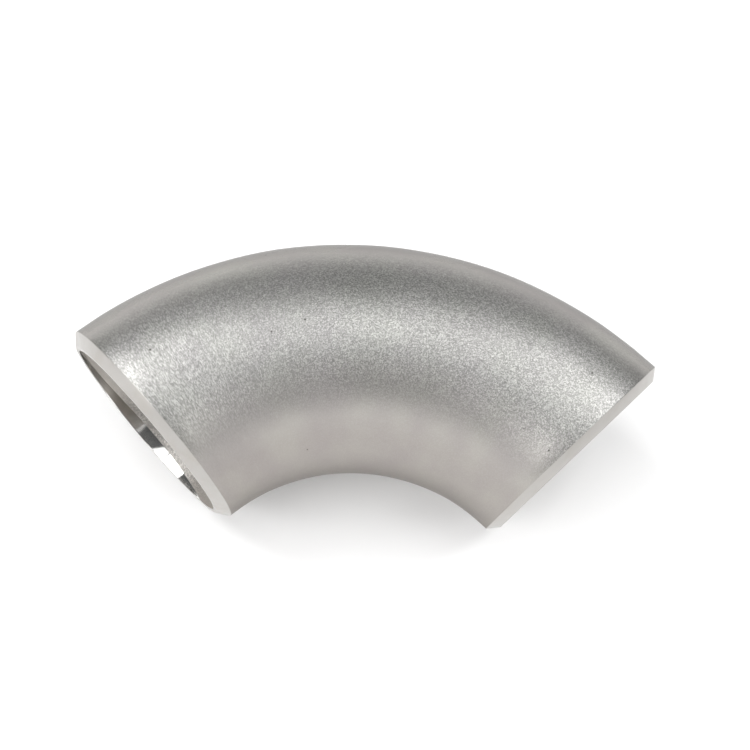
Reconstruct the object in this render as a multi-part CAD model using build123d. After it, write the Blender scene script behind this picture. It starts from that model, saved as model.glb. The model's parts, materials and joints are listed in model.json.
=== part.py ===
from build123d import *

import math
import os

# Long-radius 90 degree butt-weld elbow, stainless steel, formed in one piece from seamless pipe.
# It lies on its side: the bend is in the XY plane, and +Z is up.
# The origin is the centre of end A's weld face. The bore runs +X from there and turns to +Y at end B.

# Driving dimensions, in millimetres and degrees
outside_diameter = 73.0  # DN 65 (2 1/2 inch) pipe
wall = 5.16  # schedule 40S
bend_radius = 95.0  # long radius: 1.5 times the nominal size, and also the centre-to-end size
bend_angle = 90.0
bevel_angle = 37.5  # weld bevel, measured from the plane of the end
root_face = 1.6  # flat ring left at the inner edge of the bevel
land_length = 0.8  # straight part of the machined bore at each mouth
runout_angle = 6.0  # shallow taper that runs the machined bore out into the formed bore
bore_ovality = 0.24  # how much lower than round the formed bore is, across the plane of the bend
bore_shift = 0.03  # how far the formed bore sits towards the inside of the bend
tool_overrun = 1.0  # how far each cutting shape runs past the surface that it cuts

# Sizes that follow
outer_radius = outside_diameter / 2
land_radius = outer_radius - wall
root_radius = land_radius + root_face
bevel_slope = math.tan(math.radians(bevel_angle))
runout_drop = bore_ovality + bore_shift + tool_overrun
runout_length = runout_drop / math.tan(math.radians(runout_angle))
overrun_angle = math.degrees(tool_overrun / (bend_radius - outer_radius))

bend_axis = Axis((0, bend_radius, 0), (0, 0, 1))
end_a = Plane(origin=(0, 0, 0), x_dir=(0, 1, 0), z_dir=(-1, 0, 0))


def end_b():
    """The plane of end B: its origin is the centre of the weld face, and its normal points outwards."""
    turn = math.radians(bend_angle)
    centre = (bend_radius * math.sin(turn), bend_radius * (1 - math.cos(turn)), 0)
    inwards = (-math.sin(turn), math.cos(turn), 0)
    outwards = (math.cos(turn), math.sin(turn), 0)
    return Plane(origin=centre, x_dir=inwards, z_dir=outwards)


def bent_pipe():
    """The outside of the bend: a round section swept about the bend axis from end to end."""
    section = end_a * Circle(outer_radius)
    return revolve(section, bend_axis, bend_angle)


def formed_bore():
    """The bore as the bend leaves it: slightly lower than round, and run past both ends."""
    along_bend = land_radius
    across_bend = land_radius - bore_ovality
    section = end_a * Pos(bore_shift, 0) * Ellipse(along_bend, across_bend)
    early = section.rotate(bend_axis, -overrun_angle)
    return revolve(early, bend_axis, bend_angle + 2 * overrun_angle)


def turned(*points):
    """A shape turned about the local Z axis from the corners of its (radius, height) profile."""
    outline = Plane.XZ * Polyline(*points, close=True)
    return revolve(make_face(outline), Axis.Z, 360)


def mouth_cutter():
    """What the boring tool removes: a short straight land, and the taper that runs out beyond it."""
    return turned(
        (0, tool_overrun),
        (land_radius, tool_overrun),
        (land_radius, -land_length),
        (land_radius - runout_drop, -land_length - runout_length),
        (0, -land_length - runout_length),
    )


def bevel_cutter():
    """What the bevelling tool removes: a ring outside the cone that rises from the root face."""
    reach = outer_radius + tool_overrun
    return turned(
        (root_radius, 0),
        (reach, -(reach - root_radius) * bevel_slope),
        (reach, tool_overrun),
        (root_radius, tool_overrun),
    )


def make_elbow_body():
    """The one piece: the bent pipe, hollow, with both of its ends bored and bevelled for welding."""
    body = bent_pipe() - formed_bore()
    for end in (end_a, end_b()):
        body -= end.location * mouth_cutter()
        body -= end.location * bevel_cutter()
    return body


os.makedirs("parts", exist_ok=True)

elbow_body = make_elbow_body()
elbow_body.label = "elbow_body"
export_step(elbow_body, "parts/elbow_body.step")
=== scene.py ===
import json
import logging
import math
from dataclasses import dataclass, field
from enum import Enum

import bpy
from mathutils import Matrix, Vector


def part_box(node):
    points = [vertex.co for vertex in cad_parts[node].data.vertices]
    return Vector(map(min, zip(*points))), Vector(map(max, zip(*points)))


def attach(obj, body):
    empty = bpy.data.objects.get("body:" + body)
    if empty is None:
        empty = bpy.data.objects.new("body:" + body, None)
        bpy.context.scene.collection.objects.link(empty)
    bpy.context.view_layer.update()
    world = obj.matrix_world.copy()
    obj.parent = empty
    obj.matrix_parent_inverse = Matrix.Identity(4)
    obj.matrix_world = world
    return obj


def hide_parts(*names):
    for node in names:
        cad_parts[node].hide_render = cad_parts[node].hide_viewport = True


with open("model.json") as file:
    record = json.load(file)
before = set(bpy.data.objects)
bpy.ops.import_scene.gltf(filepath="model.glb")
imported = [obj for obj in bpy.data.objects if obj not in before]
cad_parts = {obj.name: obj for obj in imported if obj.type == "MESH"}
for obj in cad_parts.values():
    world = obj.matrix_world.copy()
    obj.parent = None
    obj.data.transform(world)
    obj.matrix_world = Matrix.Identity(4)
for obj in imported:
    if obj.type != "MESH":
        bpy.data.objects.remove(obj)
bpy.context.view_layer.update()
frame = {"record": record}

# A stainless-steel butt-weld pipe elbow on a pale studio table. Lengths are in metres, angles in degrees.
# The bend lies flat in the XY plane. End A opens towards -X at the origin and end B towards +Y.

MM = 0.001
NODE = "elbow_body"

log = logging.getLogger("elbow")


class Skin(Enum):
    """The four finishes of the elbow, in the order of the piece's material slots."""

    OUTSIDE = 0
    TURNED = 1
    LAND = 2
    BORE = 3


class Shape:
    """The mesh operators that the elbow is shaped with, acting on whatever is selected in edit mode."""

    @staticmethod
    def clear() -> None:
        """Deselects every object, so that the next operator acts on the new piece alone."""
        if bpy.context.object and bpy.context.object.mode != "OBJECT":
            bpy.ops.object.mode_set(mode="OBJECT")
        bpy.ops.object.select_all(action="DESELECT")

    @staticmethod
    def extend() -> None:
        """Extrudes the selected ring in place; the new ring is then the selected one."""
        bpy.ops.mesh.extrude_region()

    @staticmethod
    def move(offset: Vector) -> None:
        """Moves the selection by an offset."""
        bpy.ops.transform.translate(value=offset)

    @staticmethod
    def stretch(factors: Vector, centre: Vector) -> None:
        """Scales the selection about a point, with one factor for each axis."""
        bpy.ops.transform.resize(value=factors, center_override=centre)

    @staticmethod
    def turn(angle: float, centre: Vector) -> None:
        """Turns the selection about a vertical line through a point.

        Args:
            angle: the turn in radians, positive from +X towards +Y.
            centre: a point on the line.
        """
        bpy.ops.transform.rotate(value=-angle, orient_axis="Z", center_override=centre)

    @staticmethod
    def sweep(angle: float, steps: int, centre: Vector) -> None:
        """Spins the selected ring about a vertical line, leaving a wall of faces behind it.

        Args:
            angle: the sweep in radians, positive from +X towards +Y.
            steps: how many rings the sweep makes.
            centre: a point on the line.
        """
        bpy.ops.mesh.spin(steps=steps, angle=-angle, center=centre, axis=(0, 0, 1))


@dataclass
class PipeEnd:
    """One machined end: where it is, and the way out of it.

    Args:
        name: a letter; not used.
        centre: the middle of the weld face.
        outward: the unit vector that points out of the mouth.
    """

    name: str
    centre: Vector
    outward: Vector

    def depth(self, point: Vector) -> float:
        """How far a point lies behind the weld face."""
        return (self.centre - point).dot(self.outward)

    def radius(self, point: Vector) -> float:
        """How far a point lies from the axis of this end."""
        arm = point - self.centre
        return (arm - arm.dot(self.outward) * self.outward).length


@dataclass
class Elbow:
    """The elbow: a bent pipe with a bevel, a root face and a bored land at both ends.

    Args:
        ends: the two machined ends, A then B.
        outer_radius: the radius of the outside of the pipe.
        land_radius: the radius that the mouths are bored to.
        root_face: the width of the flat ring between the bevel and the bore.
        bevel_angle: the bevel's slope, in degrees from the plane of the end.
        bore_ovality: how much lower than round the formed bore is.
        land_length: the depth of the straight part of a land.
        land_reach: the depth of a land where it is deepest.
        land_taper: how much a land narrows behind its straight part, in degrees.
        taper_start: where the taper begins around the mouth, as the cosine of the angle from the
            outside of the bend.
        taper_fade: how fast it begins there, in the same measure.
        edge_level: the mean depth of the land's inner edge.
        edge_swing: how much deeper that edge is above and below, where the bore is low.
        edge_lean: how much deeper it is towards the outside of the bend.
        least_land: the depth that a land keeps where the boring tool cut nothing.
        plain_angle: how far the rings next to an end are from it around the bend, in degrees.
        around: the number of points on each ring.
        along: the number of rings that each sweep makes.
        edge_round: the width of the break on each machined edge.
        forming_wave: the depth of the waves on the formed skin.
        wave_length: the length of those waves.
        piece: the finished object.
    """

    ends: list[PipeEnd]
    outer_radius: float
    land_radius: float
    root_face: float = 1.6 * MM
    bevel_angle: float = 37.5
    bore_ovality: float = 0.24 * MM
    land_length: float = 0.25 * MM
    land_reach: float = 3.9 * MM
    land_taper: float = 5.0
    taper_start: float = 0.45
    taper_fade: float = 0.12
    edge_level: float = -0.4 * MM
    edge_swing: float = 4.0 * MM
    edge_lean: float = 1.9 * MM
    least_land: float = 0.04 * MM
    plain_angle: float = 5.0
    around: int = 232
    along: int = 150
    edge_round: float = 0.16 * MM
    forming_wave: float = 0.28 * MM
    wave_length: float = 30 * MM
    piece: bpy.types.Object = field(init=False, default=None)

    @property
    def bend_radius(self) -> float:
        """The radius of the pipe's centreline."""
        return self.ends[1].centre.y

    @property
    def bend_centre(self) -> Vector:
        """The middle of the bend."""
        return Vector((0, self.bend_radius, 0))

    @property
    def root_radius(self) -> float:
        """The outer radius of the root face."""
        return self.land_radius + self.root_face

    @property
    def bevel_depth(self) -> float:
        """How far the bevel reaches behind the weld face."""
        return (self.outer_radius - self.root_radius) * math.tan(math.radians(self.bevel_angle))

    @property
    def bevel_drift(self) -> float:
        """How far the bent pipe has already left the line of its end at the back of the bevel."""
        return self.bend_radius - math.sqrt(self.bend_radius**2 - self.bevel_depth**2)

    @property
    def land_narrowing(self) -> float:
        """How much smaller a land's radius is at its deepest place."""
        return (self.land_reach - self.land_length) * math.tan(math.radians(self.land_taper))

    @property
    def land_waist(self) -> float:
        """The land's smallest radius."""
        return self.land_radius - self.land_narrowing

    def build(self) -> bpy.types.Object:
        """Makes the finished piece.

        Returns:
            The elbow's object, at the origin, with its four finishes on it.
        """
        self.lay_rings()
        self.close_shell()
        self.assign_skins()
        for end in self.ends:
            self.run_out_land(end)
        self.break_edges()
        self.undulate()
        bpy.ops.object.shade_smooth_by_angle(angle=math.radians(25))
        self.mark_land_edges()
        return self.piece

    def lay_rings(self) -> None:
        """Draws the wall ring by ring: outside of end A, along the bend to end B, and back through the bore."""
        end_a, end_b = self.ends
        plain = math.radians(self.plain_angle)
        swept = math.pi / 2 - 2 * plain
        Shape.clear()
        bpy.ops.mesh.primitive_circle_add(
            vertices=self.around,
            radius=self.outer_radius,
            location=end_a.centre - self.bevel_depth * end_a.outward + self.drift(end_a),
            rotation=(0, math.pi / 2, 0),
        )
        self.piece = bpy.context.object
        self.piece.name = self.piece.data.name = "stainless_elbow"
        bpy.ops.object.transform_apply(location=True, rotation=True, scale=True)
        bpy.ops.object.mode_set(mode="EDIT")
        bpy.ops.mesh.select_all(action="SELECT")
        Shape.extend()
        Shape.move(self.bevel_depth * end_a.outward - self.drift(end_a))
        Shape.turn(plain, self.bend_centre)
        Shape.sweep(swept, self.along, self.bend_centre)
        Shape.extend()
        Shape.turn(plain, self.bend_centre)
        Shape.move(self.drift(end_b) - self.bevel_depth * end_b.outward)
        self.cut_mouth(end_b)
        Shape.extend()
        Shape.move(self.land_reach * end_b.outward)
        Shape.stretch(self.even(self.land_radius / self.land_waist), end_b.centre)
        Shape.stretch(self.oval(1), end_b.centre)
        Shape.turn(-plain, self.bend_centre)
        Shape.sweep(-swept, self.along, self.bend_centre)
        Shape.extend()
        Shape.turn(-plain, self.bend_centre)
        self.close_mouth(end_a)
        bpy.ops.object.mode_set(mode="OBJECT")

    def drift(self, end: PipeEnd) -> Vector:
        """The small offset, towards the middle of the bend, of the outside at the back of a bevel."""
        return self.bevel_drift * (self.bend_centre - end.centre - self.way_in(end)).normalized()

    def way_in(self, end: PipeEnd) -> Vector:
        """The part of the way to the bend's middle that runs along an end's own axis."""
        return (self.bend_centre - end.centre).dot(end.outward) * end.outward

    def cut_mouth(self, end: PipeEnd) -> None:
        """Goes from the outer edge of a bevel over the root face and the land, to where the land runs out.

        Args:
            end: the end whose mouth is being cut.
        """
        bevel_edge = end.centre - self.bevel_depth * end.outward + self.drift(end)
        Shape.extend()
        Shape.stretch(self.even(self.root_radius / self.outer_radius), bevel_edge)
        Shape.move(self.bevel_depth * end.outward - self.drift(end))
        Shape.extend()
        Shape.stretch(self.even(self.land_radius / self.root_radius), end.centre)
        Shape.extend()
        Shape.move(-self.land_length * end.outward)
        Shape.extend()
        Shape.stretch(self.even(self.land_waist / self.land_radius), end.centre - self.land_length * end.outward)
        Shape.move((self.land_length - self.land_reach) * end.outward)

    def close_mouth(self, end: PipeEnd) -> None:
        """Goes from the bore out over the land and the root face, back to the first ring.

        Args:
            end: the end that the first ring belongs to.
        """
        Shape.stretch(self.oval(-1), end.centre)
        Shape.stretch(self.even(self.land_waist / self.land_radius), end.centre)
        Shape.move(-self.land_reach * end.outward)
        Shape.extend()
        Shape.move((self.land_reach - self.land_length) * end.outward)
        Shape.stretch(self.even(self.land_radius / self.land_waist), end.centre - self.land_length * end.outward)
        Shape.extend()
        Shape.move(self.land_length * end.outward)
        Shape.extend()
        Shape.stretch(self.even(self.root_radius / self.land_radius), end.centre)
        Shape.extend()
        Shape.stretch(self.even(self.outer_radius / self.root_radius), end.centre)
        Shape.move(self.drift(end) - self.bevel_depth * end.outward)

    @staticmethod
    def even(factor: float) -> Vector:
        """The same scale factor for all three axes."""
        return Vector((factor, factor, factor))

    def oval(self, power: int) -> Vector:
        """Scale factors from the round land to the formed bore, or back.

        Args:
            power: 1 for the way into the bore, -1 for the way back.

        Returns:
            One factor for each axis.
        """
        low = (self.land_radius - self.bore_ovality) / self.land_radius
        return Vector((1, 1, low**power))

    def close_shell(self) -> None:
        """Joins the last ring to the first and turns every face outwards."""
        bpy.ops.object.mode_set(mode="EDIT")
        bpy.ops.mesh.select_all(action="SELECT")
        bpy.ops.mesh.remove_doubles(threshold=0.02 * MM)
        bpy.ops.mesh.normals_make_consistent(inside=False)
        bpy.ops.mesh.select_all(action="DESELECT")
        bpy.ops.object.mode_set(mode="OBJECT")

    def end_near(self, point: Vector) -> PipeEnd:
        """The end whose weld face is nearer to a point."""
        return min(self.ends, key=lambda end: (point - end.centre).length)

    def tube_radius(self, point: Vector) -> float:
        """How far a point lies from the curved centreline."""
        arm = point - self.bend_centre
        return math.hypot(math.hypot(arm.x, arm.y) - self.bend_radius, arm.z)

    def skin_at(self, point: Vector) -> Skin:
        """Which finish a face has.

        Args:
            point: the middle of the face, before the land's edge is drawn.

        Returns:
            The finish.
        """
        end = self.end_near(point)
        depth, radius = end.depth(point), end.radius(point)
        if depth < 0.9 * self.bevel_depth and radius > self.land_radius + 0.1 * self.root_face:
            return Skin.TURNED
        middle = (self.land_radius + self.outer_radius) / 2
        if depth < 0.9 * self.land_reach and radius < middle:
            return Skin.LAND
        return Skin.OUTSIDE if self.tube_radius(point) > middle else Skin.BORE

    def assign_skins(self) -> None:
        """Gives every face its material slot by where it lies."""
        for finish in FINISHES.values():
            self.piece.data.materials.append(finish.material())
        for face in self.piece.data.polygons:
            face.material_index = self.skin_at(face.center).value

    def outer_side(self, point: Vector, end: PipeEnd) -> float:
        """How far round a mouth a point is: 1 at the outside of the bend, -1 at its inside."""
        arm = (point - end.centre).normalized()
        return -arm.dot((self.bend_centre - end.centre - self.way_in(end)).normalized())

    def land_depths(self, point: Vector, end: PipeEnd) -> tuple[float, float]:
        """How deep the two parts of a land reach at one place around the mouth.

        The formed bore is lower than round, so the boring tool cuts most above and below, less at the
        outside of the bend and nothing at its inside.

        Args:
            point: a point on the land.
            end: the end that it belongs to.

        Returns:
            The depth where the straight part stops, and the depth where the taper stops.
        """
        rise = (point - end.centre).normalized().z
        reach = self.edge_level + self.edge_swing * rise**2 + self.edge_lean * self.outer_side(point, end)
        reach = max(2 * self.least_land, min(self.land_reach, reach))
        return max(self.least_land, min(self.land_length, reach / 3)), reach

    def run_out_land(self, end: PipeEnd) -> None:
        """Draws the land's edges to where the surface that the tool cuts meets the formed bore.

        Args:
            end: the end whose land is drawn.
        """
        edges = self.piece.vertex_groups.new(name="land_edges")
        widths = self.piece.vertex_groups.new(name="land_widths")
        for vertex in self.piece.data.vertices:
            depth, radius = end.depth(vertex.co), end.radius(vertex.co)
            if depth > 1.01 * self.land_reach or radius > self.land_radius + 0.1 * self.root_face:
                continue
            straight, deepest = self.land_depths(vertex.co, end)
            if abs(depth - self.land_length) < 0.01 * MM:
                edges.add([vertex.index], (depth - straight) / self.land_reach, "REPLACE")
            if abs(depth - self.land_reach) < 0.01 * MM:
                tapered = (self.taper_start - self.outer_side(vertex.co, end)) / self.taper_fade
                tapered = max(0.0, min(1.0, tapered))
                share = tapered * (deepest - straight) / (self.land_reach - self.land_length)
                edges.add([vertex.index], (depth - deepest) / self.land_reach, "REPLACE")
                widths.add([vertex.index], 1 - share, "REPLACE")
        widen = self.piece.modifiers.new("land_widths", "DISPLACE")
        widen.direction = "NORMAL"
        widen.vertex_group = widths.name
        widen.mid_level = 0.0
        widen.strength = -self.land_narrowing
        bpy.ops.object.modifier_apply(modifier=widen.name)
        axis = "X" if abs(end.outward.x) > abs(end.outward.y) else "Y"
        draw = self.piece.modifiers.new("land_edges", "DISPLACE")
        draw.direction = axis
        draw.vertex_group = edges.name
        draw.mid_level = 0.0
        draw.strength = self.land_reach * (end.outward.x if axis == "X" else end.outward.y)
        bpy.ops.object.modifier_apply(modifier=draw.name)
        self.piece.vertex_groups.clear()

    def is_machined_edge(self, start: Vector, stop: Vector) -> bool:
        """Whether an edge runs around a rim of the bevel or of the root face.

        Args:
            start: one end of the edge.
            stop: the other end.

        Returns:
            True where the edge is one of those to be broken.
        """
        end = self.end_near(start)
        depth, radius = end.depth(start), end.radius(start)
        runs_around = abs(radius - end.radius(stop)) < 0.2 * MM and abs(depth - end.depth(stop)) < 0.01 * MM
        on_bevel_rim = abs(depth - self.bevel_depth) < 0.01 * MM and radius > self.root_radius
        return runs_around and (on_bevel_rim or abs(depth) < 0.01 * MM)

    def break_edges(self) -> None:
        """Rounds the sharp machined edges a little, as a wire brush leaves them."""
        mesh = self.piece.data
        for edge in mesh.edges:
            edge.select = self.is_machined_edge(*(mesh.vertices[index].co for index in edge.vertices))
        bpy.ops.object.mode_set(mode="EDIT")
        bpy.ops.mesh.select_mode(type="EDGE")
        bpy.ops.mesh.bevel(offset=self.edge_round, segments=3, affect="EDGES")
        bpy.ops.mesh.select_all(action="DESELECT")
        bpy.ops.object.mode_set(mode="OBJECT")

    def mark_land_edges(self) -> None:
        """Keeps the shading crisp where a land meets the bore."""
        mesh = self.piece.data
        skins = {}
        for face in mesh.polygons:
            for key in face.edge_keys:
                skins.setdefault(key, set()).add(face.material_index)
        border = {Skin.LAND.value, Skin.BORE.value}
        for edge in mesh.edges:
            edge.select = skins.get(edge.key) == border
        bpy.ops.object.mode_set(mode="EDIT")
        bpy.ops.mesh.mark_sharp()
        bpy.ops.mesh.select_all(action="DESELECT")
        bpy.ops.object.mode_set(mode="OBJECT")

    def undulate(self) -> None:
        """Gives the formed skin the slow, shallow waves that hot forming leaves."""
        group = self.piece.vertex_groups.new(name="formed")
        for vertex in self.piece.data.vertices:
            depth = min(abs(end.depth(vertex.co)) for end in self.ends)
            free = max(0.0, min(1.0, (depth - 2 * self.bevel_depth) / (4 * self.bevel_depth)))
            group.add([vertex.index], free, "REPLACE")
        texture = bpy.data.textures.new("forming_wave", "CLOUDS")
        texture.noise_scale = self.wave_length
        texture.noise_depth = 1
        wave = self.piece.modifiers.new("forming_wave", "DISPLACE")
        wave.texture = texture
        wave.texture_coords = "LOCAL"
        wave.vertex_group = group.name
        wave.mid_level = 1.0
        wave.strength = self.forming_wave
        bpy.ops.object.modifier_apply(modifier=wave.name)
        self.piece.vertex_groups.clear()


class Tree:
    """A short way to add nodes to a node tree and link them."""

    def __init__(self, tree: bpy.types.NodeTree) -> None:
        """Starts from an existing node tree."""
        self.tree = tree

    def node(self, kind: str, inputs: dict | None = None, **settings) -> bpy.types.Node:
        """Adds a node.

        Args:
            kind: the node's type name, without its ShaderNode prefix unless it is a Node type.
            inputs: socket name or number to a value, or to a socket to link from.
            settings: the node's own properties.

        Returns:
            The node.
        """
        made = self.tree.nodes.new(kind if kind.startswith("Node") else "ShaderNode" + kind)
        for key, value in settings.items():
            setattr(made, key, value)
        for key, value in (inputs or {}).items():
            if isinstance(value, bpy.types.NodeSocket):
                self.tree.links.new(value, made.inputs[key])
            else:
                made.inputs[key].default_value = value
        return made

    def link(self, source: bpy.types.NodeSocket, target: bpy.types.NodeSocket) -> None:
        """Links one socket to another."""
        self.tree.links.new(source, target)

    def math(self, operation: str, *values) -> bpy.types.NodeSocket:
        """Adds a Math node and returns its output socket."""
        return self.node("Math", dict(enumerate(values)), operation=operation).outputs[0]

    def hypotenuse(self, first, second) -> bpy.types.NodeSocket:
        """Adds nodes for the length of two legs at right angles and returns the output socket."""
        squares = (self.math("MULTIPLY", leg, leg) for leg in (first, second))
        return self.math("SQRT", self.math("ADD", *squares))

    def remap(self, value, low: float, high: float, to_low: float, to_high: float):
        """Adds a clamped Map Range node and returns its output socket."""
        sockets = {0: value, 1: low, 2: high, 3: to_low, 4: to_high}
        return self.node("MapRange", sockets).outputs[0]

    def mix(self, factor, first, second, blend: str = "MIX") -> bpy.types.NodeSocket:
        """Mixes two colours and returns the output socket."""
        sockets = {0: factor, 6: first, 7: second}
        return self.node("Mix", sockets, data_type="RGBA", blend_type=blend).outputs[2]


def new_group(name: str, inputs: dict[str, float], outputs: dict[str, str]) -> tuple:
    """Starts a shader node group.

    Args:
        name: the group's name.
        inputs: name to default value; a vector where the default is a tuple.
        outputs: name to socket type.

    Returns:
        The group, its Tree, its input node and its output node.
    """
    group = bpy.data.node_groups.new(name, "ShaderNodeTree")
    for label, default in inputs.items():
        kind = "NodeSocketVector" if isinstance(default, tuple) else "NodeSocketFloat"
        socket = group.interface.new_socket(label, in_out="INPUT", socket_type=kind)
        socket.default_value = default
    for label, kind in outputs.items():
        group.interface.new_socket(label, in_out="OUTPUT", socket_type=kind)
    tree = Tree(group)
    return group, tree, tree.node("NodeGroupInput"), tree.node("NodeGroupOutput")


def pipe_place_group() -> bpy.types.NodeTree:
    """Where a point is on the pipe, as if the pipe were straight, so that a pattern follows the bend.

    Returns:
        A group with the input Bend Radius, and the outputs Along, Out and Up, in metres.
    """
    wanted = {label: "NodeSocketFloat" for label in ("Along", "Out", "Up")}
    group, tree, given, out = new_group("pipe_place", {"Bend Radius": 0.095}, wanted)
    axes = tree.node("SeparateXYZ", {0: tree.node("TexCoord").outputs["Object"]})
    arm = tree.math("SUBTRACT", given.outputs["Bend Radius"], axes.outputs["Y"])
    reach = tree.hypotenuse(axes.outputs["X"], arm)
    turned = tree.math("ARCTAN2", axes.outputs["X"], arm)
    tree.link(tree.math("MULTIPLY", turned, given.outputs["Bend Radius"]), out.inputs["Along"])
    tree.link(tree.math("SUBTRACT", reach, given.outputs["Bend Radius"]), out.inputs["Out"])
    tree.link(axes.outputs["Z"], out.inputs["Up"])
    return group


def blast_grain_group(place_group: bpy.types.NodeTree) -> bpy.types.NodeTree:
    """The surface that grit blasting leaves on a formed pipe.

    Every small facet faces its own way, so it catches the light its own way; that light and shade is painted
    into the colour as a painted sparkle, a little lighter or darker than its neighbours. Near end B the facets
    are drawn out into short marks around the pipe, which the painted sparkle shows as lighter and darker
    streaks.
    The painted sparkle fades towards the inside and the outside of the bend, where forming leaves the skin
    smooth. A few deeper pits are scattered about.

    Args:
        place_group: the group that says where a point is on the pipe.

    Returns:
        A group with the inputs Grain Size, Fade From, Fade To, Streaks and Pits, and the outputs
        Height, Painted Sparkle (the facets' painted light and shade), Mottle, Pit, Inside and Outside.
    """
    labels = ("Height", "Painted Sparkle", "Mottle", "Pit", "Inside", "Outside")
    wanted = {label: "NodeSocketFloat" for label in labels}
    inputs = {"Grain Size": 0.4 * MM, "Fade From": -0.012, "Fade To": -0.027, "Streaks": 1.0, "Pits": 0.7}
    group, tree, given, out = new_group("blast_grain", inputs, wanted)
    where = tree.node("Group", node_tree=place_group)
    along, outward, up = (where.outputs[label] for label in ("Along", "Out", "Up"))
    place = tree.node("CombineXYZ", {0: along, 1: outward, 2: up}).outputs[0]
    scale = tree.math("DIVIDE", 1.0, given.outputs["Grain Size"])
    facets = tree.node("TexVoronoi", {"Vector": place, "Scale": scale})
    facet = tree.node("SeparateColor", {0: facets.outputs["Color"]})
    fine = tree.node("TexNoise", {"Vector": place, "Scale": scale, "Detail": 2.0, "Roughness": 0.6})
    clear = tree.remap(fine.outputs[0], 0.32, 0.68, 0.0, 1.0)
    grit = tree.math("ADD", tree.math("MULTIPLY", facet.outputs[0], 0.5), tree.math("MULTIPLY", clear, 0.5))
    drawn = tree.node("CombineXYZ", {0: tree.math("MULTIPLY", along, 4.0), 1: outward, 2: up}).outputs[0]
    marks = tree.node("TexNoise", {"Vector": drawn, "Scale": 900.0, "Detail": 2.0, "Roughness": 0.5})
    mark = tree.remap(marks.outputs[0], 0.32, 0.68, 0.0, 1.0)
    near_b = tree.remap(along, 0.085, 0.135, 0.0, 0.6)
    share = tree.math("MULTIPLY", near_b, given.outputs["Streaks"])
    mixed = tree.node("Mix", {0: share, 2: grit, 3: mark}, data_type="FLOAT").outputs[0]
    fade = tree.node(
        "MapRange",
        {0: outward, 1: given.outputs["Fade From"], 2: given.outputs["Fade To"], 3: 1.0, 4: 0.1},
        interpolation_type="SMOOTHSTEP",
    ).outputs[0]
    outside = tree.remap(outward, 0.014, 0.025, 0.0, 1.0)
    shown = tree.math("MULTIPLY", fade, tree.math("MULTIPLY_ADD", outside, -0.85, 1.0))
    # Painted sparkle: the light and shade that each facet's tilt would catch, painted into the colour; the power
    # lets a few facets glint brighter than the rest.
    sparkle = tree.math("SUBTRACT", tree.math("POWER", mixed, 1.7), 0.33)
    painted_sparkle = tree.math("MULTIPLY", sparkle, shown)
    swell = tree.node("TexNoise", {"Vector": place, "Scale": 450.0, "Detail": 2.0})
    rise = tree.math("MULTIPLY_ADD", facets.outputs["Distance"], 0.25, swell.outputs[0])
    mottle = tree.node("TexNoise", {"Vector": place, "Scale": 60.0, "Detail": 4.0})
    sparse = tree.node("TexVoronoi", {"Vector": place, "Scale": 130.0})
    rare = tree.node("SeparateColor", {0: sparse.outputs["Color"]})
    hole = tree.remap(sparse.outputs["Distance"], 0.02, 0.06, 1.0, 0.0)
    chosen = tree.math("GREATER_THAN", rare.outputs[1], given.outputs["Pits"])
    pit = tree.math("MULTIPLY", hole, chosen)
    inside = tree.remap(outward, -0.010, -0.031, 0.0, 1.0)
    finished = {
        "Height": rise,
        "Painted Sparkle": painted_sparkle,
        "Mottle": mottle.outputs[0],
        "Pit": pit,
        "Inside": inside,
        "Outside": outside,
    }
    for label, value in finished.items():
        tree.link(value, out.inputs[label])
    return group


def tool_ring_group(place_group: bpy.types.NodeTree) -> bpy.types.NodeTree:
    """The fine rings that a cutting tool leaves around both ends, and a cloudy mask for handling marks.

    Args:
        place_group: the group that says where a point is on the pipe.

    Returns:
        A group with the inputs Pitch and Length, and the outputs Height and Smudge.
    """
    wanted = {"Height": "NodeSocketFloat", "Smudge": "NodeSocketFloat"}
    inputs = {"Pitch": 0.2 * MM, "Length": 0.149}
    group, tree, given, out = new_group("tool_rings", inputs, wanted)
    place = tree.node("Group", node_tree=place_group)
    radius = tree.hypotenuse(place.outputs["Out"], place.outputs["Up"])
    left = tree.math("SUBTRACT", given.outputs["Length"], place.outputs["Along"])
    depth = tree.math("MINIMUM", place.outputs["Along"], left)
    turns = tree.math("DIVIDE", tree.math("ADD", radius, depth), given.outputs["Pitch"])
    grooves = tree.node("TexNoise", {"W": turns, "Scale": 1.0, "Detail": 3.0}, noise_dimensions="1D")
    body = tree.node("TexCoord").outputs["Object"]
    smudge = tree.node("TexNoise", {"Vector": body, "Scale": 130.0, "Detail": 5.0, "Roughness": 0.65})
    tree.link(grooves.outputs[0], out.inputs["Height"])
    tree.link(smudge.outputs[0], out.inputs["Smudge"])
    return group


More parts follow.
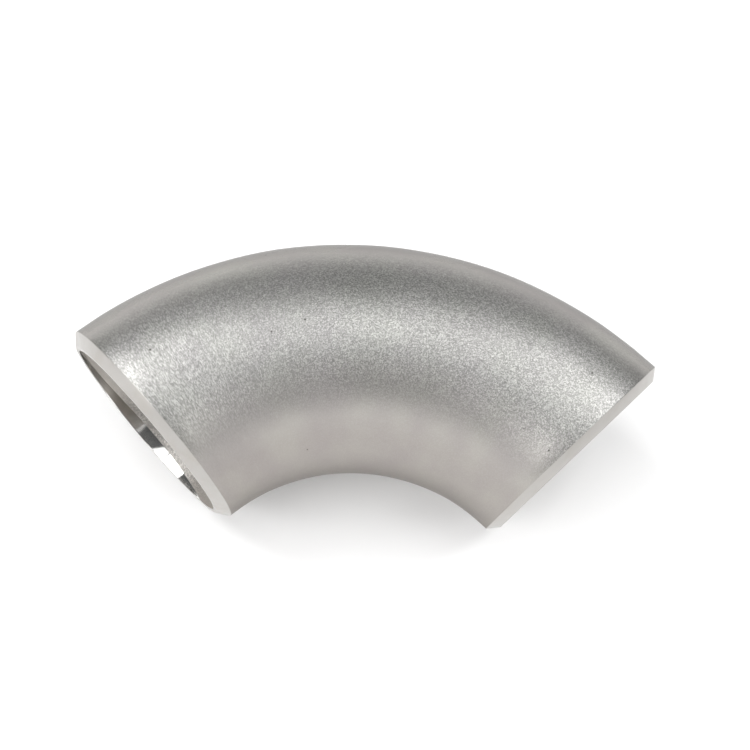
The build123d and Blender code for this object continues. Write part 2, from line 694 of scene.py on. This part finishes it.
@dataclass(frozen=True)
class BlastedSteel:
    """Stainless steel after grit blasting and pickling.

    Args:
        name: the material's name.
        light: the paler of its two mottled colours.
        dark: the deeper one.
        warm: a painted reflection tint at the inside of the bend, and fainter at its outside, which multiplies
            the colour.
        roughness: the mean roughness.
        shoulder: the roughness that it has at the outside of the bend.
        grain_size: the size of the facets.
        contrast: how much lighter and darker the painted sparkle makes the facets.
        relief: the height of the bump, in metres.
        streaks: how far the marks near end B replace the grain.
        pits: the share of places that have no pit.
        edge_tint: how bright the metal stays where it is seen at a low angle.
        shoulder_sheen: how much paler the colour is painted at the outside of the bend, a painted reflection of
            the pale table.
    """

    name: str
    light: tuple[float, float, float]
    dark: tuple[float, float, float]
    warm: tuple[float, float, float]
    roughness: float
    shoulder: float
    grain_size: float
    contrast: float
    relief: float
    streaks: float
    pits: float
    edge_tint: float = 0.5
    shoulder_sheen: float = 0.14

    def material(self) -> bpy.types.Material:
        """Makes the material."""
        made = bpy.data.materials.new(self.name)
        made.use_nodes = True
        tree = Tree(made.node_tree)
        shader = made.node_tree.nodes["Principled BSDF"]
        shader.inputs["Metallic"].default_value = 1.0
        shader.inputs["Specular Tint"].default_value = (self.edge_tint, self.edge_tint, self.edge_tint, 1.0)
        grain = tree.node("Group", node_tree=GROUPS["grain"])
        grain.inputs["Grain Size"].default_value = self.grain_size
        grain.inputs["Streaks"].default_value = self.streaks
        grain.inputs["Pits"].default_value = self.pits
        patch = tree.remap(grain.outputs["Mottle"], 0.35, 0.65, 0.0, 1.0)
        plain = tree.mix(patch, (*self.dark, 1.0), (*self.light, 1.0))
        # The formed mask below weights a painted reflection: the warm tone of the table and the other leg seen
        # in the inside of the bend, fainter on its outside.
        faint = tree.math("MULTIPLY", grain.outputs["Outside"], 0.6)
        formed = tree.math("MAXIMUM", grain.outputs["Inside"], faint)
        tint = tree.mix(formed, (1.0, 1.0, 1.0, 1.0), (*self.warm, 1.0))
        toned = tree.mix(1.0, plain, tint, "MULTIPLY")
        # The outside of the bend is painted paler here: a painted reflection of the pale table that the shoulder
        # mirrors.
        paler = tree.math("MULTIPLY_ADD", grain.outputs["Outside"], self.shoulder_sheen, 1.0)
        # Here the painted sparkle lightens or darkens the colour facet by facet, as painted light.
        gain = tree.math("MULTIPLY_ADD", grain.outputs["Painted Sparkle"], self.contrast, paler)
        shade = tree.node("CombineColor", {0: gain, 1: gain, 2: gain}).outputs[0]
        painted_light_tone = tree.mix(1.0, toned, shade, "MULTIPLY")
        # Pits are painted near-black: painted shade in each hollow, on top of the shallow dent that the bump
        # gives them.
        colour = tree.mix(grain.outputs["Pit"], painted_light_tone, (0.08, 0.075, 0.07, 1.0))
        even = tree.remap(grain.outputs["Mottle"], 0.3, 0.7, self.roughness + 0.03, self.roughness - 0.03)
        dull = tree.math("MULTIPLY_ADD", grain.outputs["Outside"], self.shoulder - self.roughness, even)
        level = tree.math("SUBTRACT", grain.outputs["Height"], grain.outputs["Pit"])
        bump = tree.node("Bump", {"Height": level, "Distance": self.relief, "Strength": 1.0})
        tree.link(colour, shader.inputs["Base Color"])
        tree.link(dull, shader.inputs["Roughness"])
        tree.link(bump.outputs[0], shader.inputs["Normal"])
        return made


@dataclass(frozen=True)
class TurnedSteel:
    """Stainless steel as a cutting tool leaves it: bare, brighter than the skin, with fine rings.

    Args:
        name: the material's name.
        colour: the metal's colour.
        roughness: the mean roughness.
        pitch: the feed of the tool, which spaces the rings.
        ring_depth: the height of the rings, in metres.
    """

    name: str
    colour: tuple[float, float, float]
    roughness: float
    pitch: float
    ring_depth: float

    def material(self) -> bpy.types.Material:
        """Makes the material."""
        made = bpy.data.materials.new(self.name)
        made.use_nodes = True
        tree = Tree(made.node_tree)
        shader = made.node_tree.nodes["Principled BSDF"]
        shader.inputs["Metallic"].default_value = 1.0
        rings = tree.node("Group", node_tree=GROUPS["rings"])
        rings.inputs["Pitch"].default_value = self.pitch
        warm = tuple(part * tint for part, tint in zip(self.colour, (0.95, 0.92, 0.88)))
        stain = tree.remap(rings.outputs["Smudge"], 0.5, 0.75, 0.0, 0.6)
        colour = tree.mix(stain, (*self.colour, 1.0), (*warm, 1.0))
        rough = tree.remap(rings.outputs["Smudge"], 0.3, 0.7, 0.85 * self.roughness, 1.25 * self.roughness)
        bump = tree.node(
            "Bump", {"Height": rings.outputs["Height"], "Distance": self.ring_depth, "Strength": 1.0}
        )
        tree.link(colour, shader.inputs["Base Color"])
        tree.link(rough, shader.inputs["Roughness"])
        tree.link(bump.outputs[0], shader.inputs["Normal"])
        return made


PLACE = pipe_place_group()
GROUPS = {"grain": blast_grain_group(PLACE), "rings": tool_ring_group(PLACE)}

FINISHES = {
    Skin.OUTSIDE: BlastedSteel(
        name="blasted_skin",
        light=(0.360, 0.361, 0.344),
        dark=(0.338, 0.333, 0.326),
        warm=(1.04, 0.98, 0.96),
        roughness=0.47,
        shoulder=0.27,
        grain_size=0.36 * MM,
        contrast=1.15,
        relief=0.03 * MM,
        streaks=1.0,
        pits=0.7,
    ),
    Skin.TURNED: TurnedSteel("turned_bevel", (0.435, 0.42, 0.402), 0.34, 0.15 * MM, 0.003 * MM),
    Skin.LAND: TurnedSteel("bored_land", (0.66, 0.655, 0.645), 0.07, 0.12 * MM, 0.0003 * MM),
    Skin.BORE: BlastedSteel(
        name="blasted_bore",
        light=(0.66, 0.64, 0.615),
        dark=(0.58, 0.56, 0.535),
        warm=(1.0, 0.97, 0.94),
        roughness=0.5,
        shoulder=0.5,
        grain_size=0.42 * MM,
        contrast=1.0,
        relief=0.04 * MM,
        streaks=0.0,
        pits=0.9,
        edge_tint=1.0,
        shoulder_sheen=0.0,
    ),
}


@dataclass(frozen=True)
class SoftBox:
    """A soft light over the table, facing the object.

    Args:
        name: the light's name.
        tilt: degrees from straight up towards the outside of the bend.
        side: degrees to one side, towards end A.
        width: its size from side to side.
        height: its size the other way.
        radiance: how bright its face is.
    """

    name: str
    tilt: float
    side: float
    width: float
    height: float
    radiance: float


@dataclass
class Studio:
    """The table, the lights and the camera.

    Args:
        middle: the middle of the object.
        table_height: the height of the surface that the elbow lies on.
        table_radius: the size of the round table, which ends just short of the lowest lights.
        light_distance: how far the softboxes are from the object.
        surround: how bright the rest of the room is.
        outer_way: the level direction from the inside of the bend to its outside.
        side_way: the level direction across that, from end B towards end A.
        boxes: the softboxes.
    """

    middle: Vector
    table_height: float
    table_radius: float = 1.5
    light_distance: float = 1.6
    surround: float = 0.12
    outer_way: Vector = field(default_factory=lambda: Vector((1, -1, 0)).normalized())
    side_way: Vector = field(default_factory=lambda: Vector((-1, -1, 0)).normalized())
    boxes: tuple[SoftBox, ...] = (
        SoftBox("key_left", 24, -31, 0.70, 0.84, 7.1),
        SoftBox("key_right", 25, 31, 0.70, 0.80, 5.55),
        SoftBox("top_panel", 9, 3, 1.28, 0.60, 2.0),
        SoftBox("wing_left", -20, -34, 0.70, 0.60, 7.1),
        SoftBox("wing_right", -18, 34, 0.70, 0.60, 3.85),
        SoftBox("front_low", -74, 0, 3.20, 0.72, 1.95),
        SoftBox("low_left", -50, -62, 1.00, 1.00, 1.7),
        SoftBox("low_right", -50, 62, 1.00, 1.00, 1.25),
        SoftBox("far_low", 82, 0, 3.20, 0.50, 0.75),
    )

    def build(self) -> None:
        """Makes everything around the object."""
        self.lay_table()
        self.hang_lights()
        self.set_surround()
        self.set_camera()

    def lay_table(self) -> None:
        """Makes the pale round table, which isn't part of the object."""
        Shape.clear()
        bpy.ops.mesh.primitive_circle_add(
            vertices=96,
            radius=self.table_radius,
            fill_type="NGON",
            location=(self.middle.x, self.middle.y, self.table_height),
        )
        table = bpy.context.object
        table.name = "table"
        paint = bpy.data.materials.new("pale_table")
        paint.use_nodes = True
        shader = paint.node_tree.nodes["Principled BSDF"]
        shader.inputs["Base Color"].default_value = (0.9, 0.9, 0.9, 1.0)
        shader.inputs["Roughness"].default_value = 0.9
        table.data.materials.append(paint)
        log.info("table at %.1f mm", self.table_height / MM)

    def direction(self, tilt: float, side: float) -> Vector:
        """The unit vector towards a place overhead.

        Args:
            tilt: degrees from straight up towards the outside of the bend.
            side: degrees to one side, towards end A.

        Returns:
            The vector.
        """
        lean, swing = math.radians(tilt), math.radians(side)
        upright = math.sin(lean) * self.outer_way + math.cos(lean) * Vector((0, 0, 1))
        return math.sin(swing) * self.side_way + math.cos(swing) * upright

    def hang_lights(self) -> None:
        """Hangs each softbox, facing the object."""
        for box in self.boxes:
            lamp = bpy.data.lights.new(box.name, "AREA")
            lamp.shape = "RECTANGLE"
            lamp.size, lamp.size_y = box.width, box.height
            lamp.energy = box.radiance * math.pi * box.width * box.height
            holder = bpy.data.objects.new(box.name, lamp)
            toward = self.direction(box.tilt, box.side)
            holder.location = self.middle + self.light_distance * toward
            holder.visible_camera = False
            holder.rotation_euler = toward.to_track_quat("Z", "Y").to_euler()
            bpy.context.collection.objects.link(holder)
            log.info("light %s", box.name)

    def set_surround(self) -> None:
        """Fills the room with a dim, even light, and shows the camera a white backdrop."""
        world = bpy.data.worlds.new("surround")
        world.use_nodes = True
        tree = Tree(world.node_tree)
        seen = tree.node("LightPath").outputs["Is Camera Ray"]
        dim = (self.surround, self.surround, self.surround, 1.0)
        shown = tree.mix(seen, dim, (1.0, 1.0, 1.0, 1.0))
        tree.link(shown, world.node_tree.nodes["Background"].inputs["Color"])
        bpy.context.scene.world = world
        bpy.context.scene.view_settings.view_transform = "Standard"

    def set_camera(self) -> None:
        """Sets the camera over the open side of the bend, looking down at it."""
        lens = bpy.data.cameras.new("camera")
        lens.sensor_width = 36
        lens.lens = 46.94
        lens.shift_x, lens.shift_y = 0.0107, 0.04
        lens.clip_start = 0.01
        camera = bpy.data.objects.new("camera", lens)
        tilt, swing, roll = (math.radians(angle) for angle in (71.37, -145.76, 13.52))
        back = Vector((math.sin(swing) * math.cos(tilt), -math.cos(swing) * math.cos(tilt), math.sin(tilt)))
        aim = Vector((0.0561, 0.0382, 0.0))
        camera.location = aim + 0.3089 * back
        look = (-back).to_track_quat("-Z", "Y").to_matrix().to_4x4()
        turn = look @ look.Rotation(roll, 4, "Z")
        camera.rotation_euler = turn.to_euler()
        bpy.context.collection.objects.link(camera)
        bpy.context.scene.camera = camera
        log.info("camera at %s", tuple(round(part, 4) for part in camera.location))


def frame_ends() -> list[PipeEnd]:
    """Reads both ends from the frame's bore mounts.

    Returns:
        End A and end B.
    """
    mounts = {mount["name"]: mount for mount in frame["record"]["mounts"]}
    bores = (("A", mounts["bore_a"]), ("B", mounts["bore_b"]))
    return [PipeEnd(name, Vector(bore["pos_m"]), Vector(bore["axis"])) for name, bore in bores]


def main() -> None:
    """Builds the elbow and the studio."""
    logging.basicConfig(level=logging.INFO, format="%(name)s: %(message)s")
    low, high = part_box(NODE)
    bore = frame["record"]["mounts"][0]["dims"]["r_mm"] * MM
    elbow = Elbow(frame_ends(), high[2], bore)
    piece = elbow.build()
    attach(piece, "root")
    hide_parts(NODE)
    log.info("%s: %d faces", piece.name, len(piece.data.polygons))
    middle = (Vector(low) + Vector(high)) / 2
    Studio(middle, low[2]).build()


if __name__ == "__main__":
    main()
